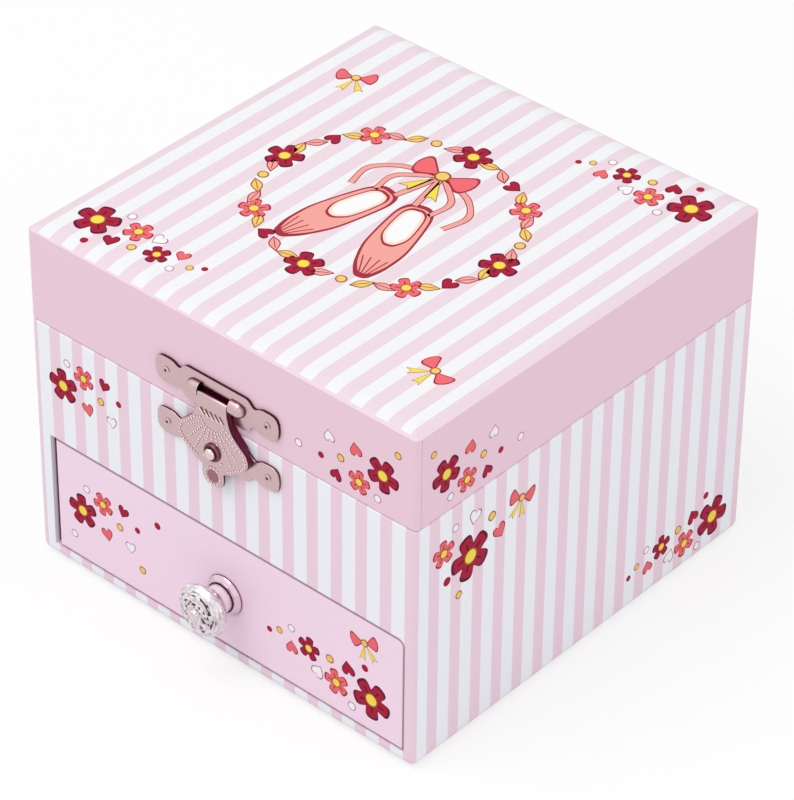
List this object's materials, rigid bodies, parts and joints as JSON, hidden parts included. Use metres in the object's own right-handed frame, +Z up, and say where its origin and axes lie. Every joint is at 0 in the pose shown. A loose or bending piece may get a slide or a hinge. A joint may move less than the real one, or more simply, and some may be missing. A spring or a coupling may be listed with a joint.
{
  "type": "musical jewellery box",
  "caption": "Paper-covered square musical jewellery box with a hinged lid, hasp latch, front drawer with faceted knob, and a clockwork dancer turning under a mirror.",
  "frame": {"origin": "centre of the underside, on the surface it stands on", "axes": "+Z up, the drawer and latch face -Y, the hinges and key are on +Y, +X to the right of the drawer"},
  "size_m": [0.11, 0.1332, 0.0878],
  "materials": {
    "striped_paper": "satin printed paper, pink and white stripes",
    "pink_paper": "satin plain pink paper",
    "greyboard": "matte greyboard",
    "flock": "short pink flock",
    "mirror_glass": "silvered glass",
    "nickel": "nickel plate",
    "steel": "bright steel",
    "brass": "turned brass",
    "zinc": "die-cast zinc",
    "crystal": "clear faceted",
    "stage_plastic": "gloss white",
    "figure_plastic": "painted satin",
    "tulle": "stiff tulle net"
  },
  "bodies": {
    "case": {"case_wrap": "striped_paper", "base_paper": "pink_paper", "case_base_board": "greyboard", "case_left_board": "greyboard", "case_right_board": "greyboard", "case_back_board": "greyboard", "case_front_board": "greyboard", "mid_shelf": "greyboard", "drawer_bay_partition": "greyboard", "well_floor_lining": "flock", "well_wall_lining": "flock", "well_divider": "greyboard", "catch_plate": "nickel", "catch_nails": "nickel", "hinge_case_leaf_left": "nickel", "hinge_case_leaf_right": "nickel", "hinge_pins": "nickel", "hinge_case_nails": "nickel", "movement_bed": "zinc", "movement_screws": "steel", "tone_comb": "steel", "spindle_bush": "brass"},
    "lid": {"lid_wrap": "striped_paper", "lid_top_board": "greyboard", "lid_front_rail": "greyboard", "lid_back_rail": "greyboard", "lid_left_rail": "greyboard", "lid_right_rail": "greyboard", "lid_lining": "pink_paper", "lid_mirror": "mirror_glass", "hinge_lid_leaf_left": "nickel", "hinge_lid_leaf_right": "nickel", "hinge_lid_nails": "nickel", "hasp_plate": "nickel", "hasp_plate_nails": "nickel"},
    "hasp": {"hasp_leaf": "nickel", "hasp_stud": "nickel"},
    "drawer": {"drawer_front": "pink_paper", "drawer_back": "greyboard", "drawer_left_side": "greyboard", "drawer_right_side": "greyboard", "drawer_bottom": "greyboard", "drawer_lining": "flock", "knob_crystal": "crystal", "knob_rosette": "nickel", "knob_screw": "steel"},
    "key": {"winding_key": "steel", "winding_arbor": "steel"},
    "barrel": {"spring_barrel": "brass", "mainspring": "steel"},
    "cylinder": {"music_cylinder": "brass", "cylinder_arbor": "steel", "great_wheel": "brass"},
    "governor": {"governor_fan": "brass"},
    "dancer": {"dancer_spindle": "steel", "turntable": "stage_plastic", "dancer_spring": "steel", "dancer_figure": "figure_plastic", "dancer_tutu": "tulle"},
    "stop_rod": {"stop_rod": "steel"}
  },
  "joints": [
    {"name": "lid_hinge", "type": "hinge", "parent": "case", "child": "lid", "pos_m": [0, 0.0564, 0.0637], "axis": [-1, 0, 0], "range_deg": [0, 100]},
    {"name": "hasp_swing", "type": "hinge", "parent": "lid", "child": "hasp", "pos_m": [0.0006, -0.0566, 0.0706], "axis": [-1, 0, 0], "range_deg": [0, 120]},
    {"name": "drawer_slide", "type": "slide", "parent": "case", "child": "drawer", "axis": [0, -1, 0], "range_m": [0, 0.05]},
    {"name": "key_wind", "type": "hinge", "parent": "case", "child": "key", "pos_m": [0, 0.06, 0.0195], "axis": [0, 1, 0], "continuous": true},
    {"name": "barrel_spin", "type": "hinge", "parent": "case", "child": "barrel", "pos_m": [0, 0.04, 0.0195], "axis": [0, 1, 0], "continuous": true},
    {"name": "cylinder_spin", "type": "hinge", "parent": "case", "child": "cylinder", "pos_m": [0.022, 0.0303, 0.0195], "axis": [1, 0, 0], "continuous": true},
    {"name": "governor_spin", "type": "hinge", "parent": "case", "child": "governor", "pos_m": [0.04, 0.03647, 0.02685], "axis": [1, 0, 0], "continuous": true},
    {"name": "dancer_spin", "type": "hinge", "parent": "case", "child": "dancer", "pos_m": [0, 0.0303, 0.04], "axis": [0, 0, 1], "continuous": true},
    {"name": "stop_rod_slide", "type": "slide", "parent": "case", "child": "stop_rod", "axis": [0, 0, 1], "range_m": [0, 0.0025]}
  ],
  "couplings": [
    {"joint": "cylinder_spin", "follows": "barrel_spin", "ratio": -3},
    {"joint": "dancer_spin", "follows": "barrel_spin", "ratio": -3},
    {"joint": "governor_spin", "follows": "barrel_spin", "ratio": 15},
    {"joint": "stop_rod_slide", "follows": "lid_hinge", "m_per_rad": 0.00143}
  ]
}
